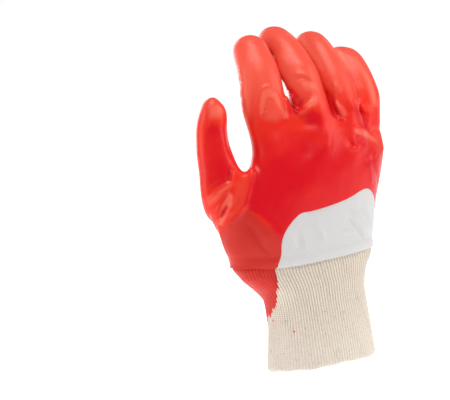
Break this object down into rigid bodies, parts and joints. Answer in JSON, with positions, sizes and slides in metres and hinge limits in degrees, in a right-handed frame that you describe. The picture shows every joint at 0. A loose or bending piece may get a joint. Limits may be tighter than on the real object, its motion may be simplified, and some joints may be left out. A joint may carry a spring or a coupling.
{
  "type": "coated work glove",
  "caption": "Right-hand work glove with a smooth plastic coat, bare jersey over part of its back and a ribbed knit wrist.",
  "frame": {"origin": "centre of the wrist opening, in the plane of the cuff's rim", "axes": "+Z from the wrist opening to the fingertips, -Y the back of the hand, +X the little finger's side"},
  "size_m": [0.144, 0.0842, 0.2293],
  "materials": {
    "pvc_coat": "satin gloss",
    "jersey": "matt knit",
    "rib_knit": "matt rib knit",
    "soaked_coat": "satin over ribs"
  },
  "bodies": {
    "root": {"pvc_coating": "pvc_coat", "jersey_back": "jersey", "knit_cuff": "rib_knit", "cuff_coating": "soaked_coat"}
  },
  "joints": []
}
